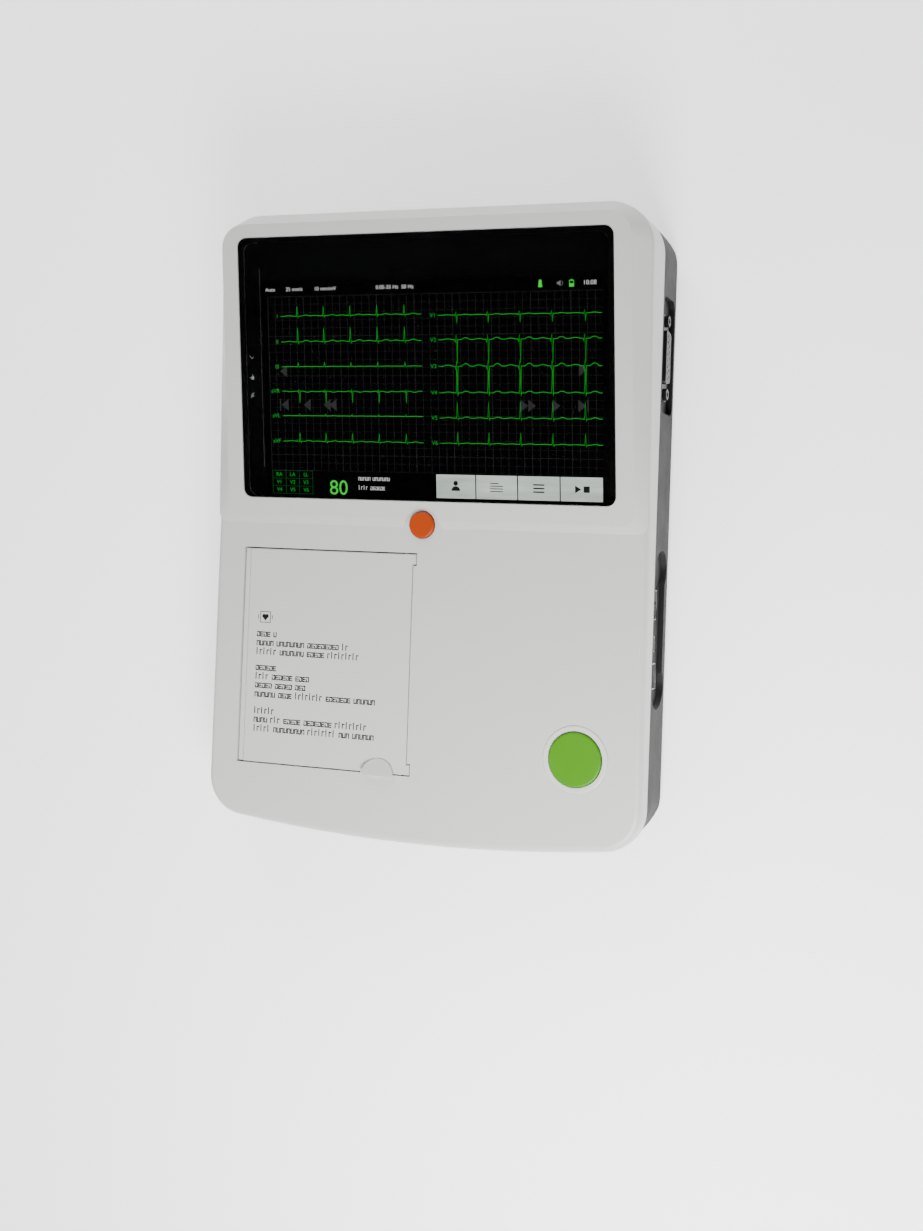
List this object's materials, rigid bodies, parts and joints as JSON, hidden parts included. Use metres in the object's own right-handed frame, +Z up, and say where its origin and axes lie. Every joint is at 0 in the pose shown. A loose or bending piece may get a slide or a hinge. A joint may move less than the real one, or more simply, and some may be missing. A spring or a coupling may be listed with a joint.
{
  "type": "electrocardiograph",
  "caption": "Desk-top ECG recorder: touch display pod above a flat control panel with a thermal printer door and two round keys, on a dark base with side sockets.",
  "frame": {"origin": "centre of the machine's box on the table, at the bottom of the rubber feet", "axes": "+Z up, +Y towards the display end, +X towards the patient socket side"},
  "size_m": [0.21, 0.288, 0.07],
  "materials": {
    "casing_white": "fine satin moulded ABS",
    "casing_dark": "fine textured moulded ABS",
    "rubber": "matt",
    "steel": "plated",
    "glass": "polished",
    "black_plastic": "matt",
    "led": "translucent",
    "board": "solder mask",
    "orange": "satin moulded",
    "green": "satin moulded",
    "acetal": "low-friction moulded",
    "tray_grey": "moulded",
    "paper": "thermal paper",
    "brass": "plated contacts",
    "cable": "laminated film"
  },
  "bodies": {
    "base": {"front_shell": "casing_white", "rear_shell": "casing_dark", "seam_gasket": "rubber", "rubber_feet": "rubber", "case_screws": "steel", "touch_glass": "glass", "display_mask": "black_plastic", "lcd_panel": "black_plastic", "lcd_bracket": "steel", "status_leds": "led", "print_button_bezel": "casing_white", "power_switch": "black_plastic", "print_switch": "black_plastic", "power_board": "board", "print_board": "board", "power_button_spring": "steel", "print_button_spring": "steel", "hinge_pins": "steel", "stepper_motor": "steel", "idler_axle": "steel", "print_head": "black_plastic", "print_head_springs": "steel", "printer_frame": "steel", "paper_tray": "tray_grey", "main_board": "board", "ecg_shield": "steel", "power_supply": "board", "battery_pack": "black_plastic", "battery_cover": "casing_dark", "battery_cover_screws": "steel", "speaker": "black_plastic", "patient_socket": "steel", "jack_screws": "steel", "usb_host_socket": "steel", "service_socket": "steel", "usb_device_socket": "steel", "interface_board": "board", "mains_inlet": "black_plastic", "inlet_pins": "brass", "fuse_holders": "black_plastic", "earth_stud": "brass", "display_cable": "cable"},
    "door": {"paper_door": "casing_white", "door_tab": "casing_white", "platen_bushes": "acetal"},
    "platen": {"platen_shaft": "steel", "platen_rubber": "rubber", "platen_gear": "acetal"},
    "idler": {"idler_gear": "acetal"},
    "motor_rotor": {"motor_shaft": "steel", "motor_pinion": "acetal"},
    "roll": {"paper_roll": "paper", "roll_spindle": "acetal"},
    "power_key": {"power_button": "orange"},
    "print_key": {"print_button": "green"}
  },
  "joints": [
    {"name": "door_hinge", "type": "hinge", "parent": "base", "child": "door", "pos_m": [-0.008, -0.06093, 0.04253], "axis": [0, 0.9997, 0.0262], "range_deg": [0, 105]},
    {"name": "platen_spin", "type": "hinge", "parent": "door", "child": "platen", "pos_m": [-0.082, -0.06074, 0.03543], "axis": [0, 0.9997, 0.0262], "continuous": true},
    {"name": "idler_spin", "type": "hinge", "parent": "base", "child": "idler", "pos_m": [-0.08102, -0.10841, 0.02222], "axis": [0, 0.9997, 0.0262], "continuous": true},
    {"name": "motor_spin", "type": "hinge", "parent": "base", "child": "motor_rotor", "pos_m": [-0.07245, -0.10834, 0.01947], "axis": [0, 0.9997, 0.0262], "continuous": true},
    {"name": "paper_roll_spin", "type": "hinge", "parent": "base", "child": "roll", "pos_m": [-0.04, -0.06045, 0.02414], "axis": [0, 0.9997, 0.0262], "continuous": true},
    {"name": "power_press", "type": "slide", "parent": "base", "child": "power_key", "axis": [0, 0.0262, -0.9997], "range_m": [0, 0.001], "stiffness_N_per_m": 900, "springref_m": -0.001, "deforming": ["power_button_spring"]},
    {"name": "print_press", "type": "slide", "parent": "base", "child": "print_key", "axis": [0, 0.0262, -0.9997], "range_m": [0, 0.0012], "stiffness_N_per_m": 900, "springref_m": -0.001, "deforming": ["print_button_spring"]}
  ],
  "couplings": [
    {"joint": "idler_spin", "follows": "platen_spin", "ratio": -1},
    {"joint": "motor_spin", "follows": "platen_spin", "ratio": 2}
  ]
}
